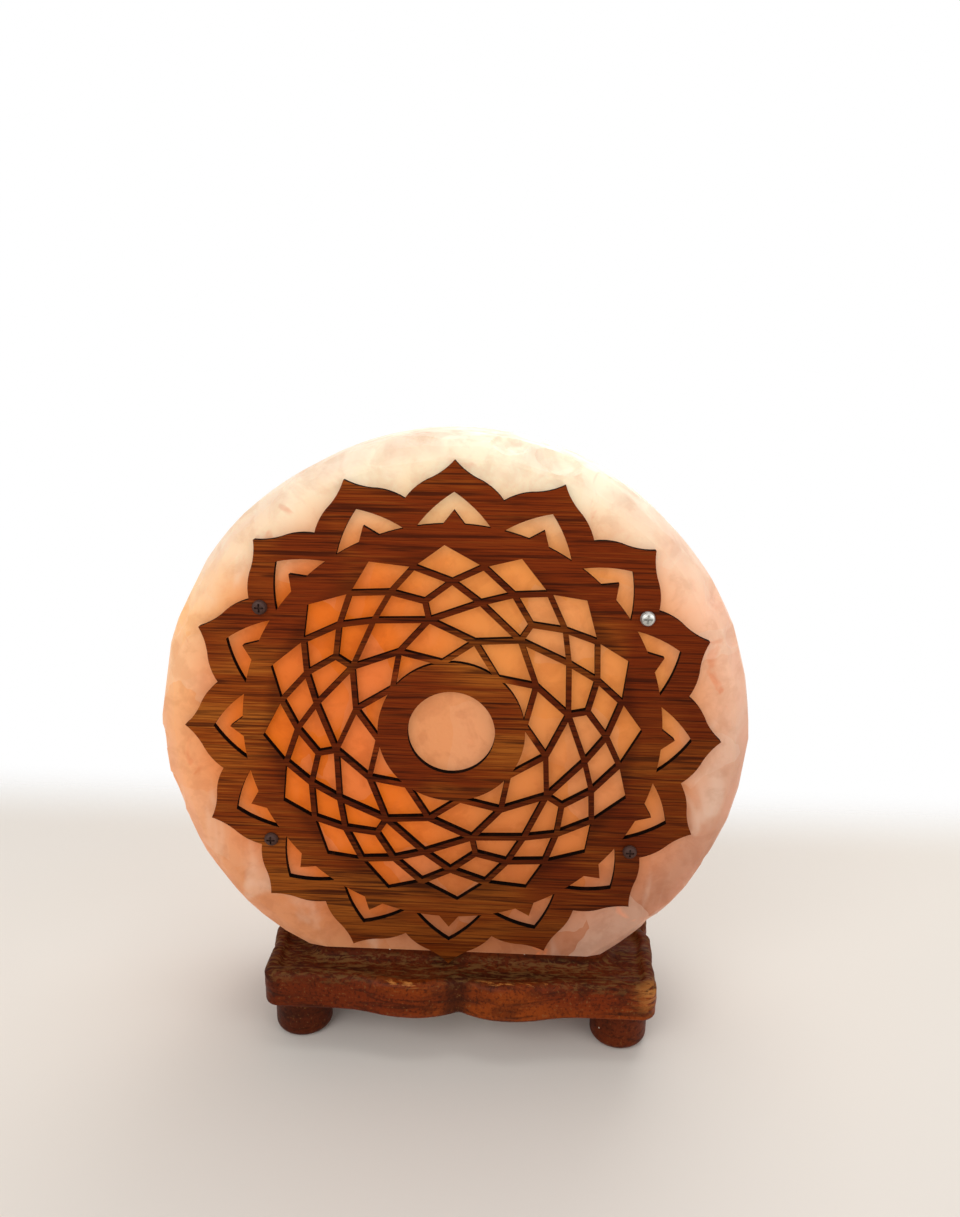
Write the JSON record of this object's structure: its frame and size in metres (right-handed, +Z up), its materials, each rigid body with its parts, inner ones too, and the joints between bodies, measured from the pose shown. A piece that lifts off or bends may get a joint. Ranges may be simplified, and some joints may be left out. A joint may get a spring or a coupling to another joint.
{
  "type": "salt crystal lamp",
  "caption": "Round salt crystal disc lamp standing on a carved wooden base, with a laser-cut lotus mandala screwed to its front and a lampholder pushed into its bore from below.",
  "frame": {"origin": "on the floor under the middle of the lamp", "axes": "+Z up, -Y towards the front with the mandala, +X to the right as the front is seen"},
  "size_m": [0.24, 0.1, 0.2571],
  "materials": {
    "board_wood": "carved hardwood, dark red-brown stain under glossy varnish",
    "foot_wood": "turned hardwood, dark red-brown stain under glossy varnish",
    "salt": "translucent rock salt, hewn rim and smooth faces, lit from inside",
    "panel_wood": "thin laser-cut wood, reddish brown, satin, charred edges",
    "zinc_steel": "zinc plated",
    "spring_steel": "bright nickel plated spring steel",
    "plug_nylon": "plain nylon",
    "holder_plastic": "moulded off-white plastic",
    "bush_plastic": "black nylon",
    "insert_ceramic": "unglazed ceramic",
    "contact_brass": "plain brass",
    "cap_aluminium": "plain rolled aluminium",
    "black_glass": "black vitreous insulator",
    "clear_glass": "clear glass",
    "filament_metal": "drawn nickel and tungsten wire"
  },
  "bodies": {
    "lamp": {"base_board": "board_wood", "foot_front_left": "foot_wood", "foot_front_right": "foot_wood", "foot_rear_left": "foot_wood", "foot_rear_right": "foot_wood", "foot_screws": "zinc_steel", "salt_disc": "salt", "disc_screws": "zinc_steel", "disc_screw_washers": "zinc_steel", "disc_screw_plugs": "plug_nylon", "mandala_panel": "panel_wood", "panel_screws": "zinc_steel", "panel_screw_plugs": "plug_nylon"},
    "lampholder": {"holder_plate": "spring_steel", "holder_body": "holder_plastic", "holder_insert": "insert_ceramic", "terminal_screws": "contact_brass", "holder_cap": "holder_plastic", "cord_inlet_bush": "bush_plastic", "screw_shell": "contact_brass", "centre_contact": "contact_brass"},
    "bulb": {"bulb_tip": "cap_aluminium", "bulb_insulator": "black_glass", "bulb_cap": "cap_aluminium", "bulb_glass": "clear_glass", "bulb_stem": "clear_glass", "lead_wires": "filament_metal", "filament": "filament_metal"}
  },
  "joints": [
    {"name": "lampholder_pull", "type": "slide", "parent": "lamp", "child": "lampholder", "axis": [0, 0, 1], "range_m": [-0.115, 0]},
    {"name": "bulb_turn", "type": "hinge", "parent": "lampholder", "child": "bulb", "pos_m": [0.0055, 0, 0.053], "axis": [0, 0, 1], "range_deg": [0, 1440]}
  ]
}
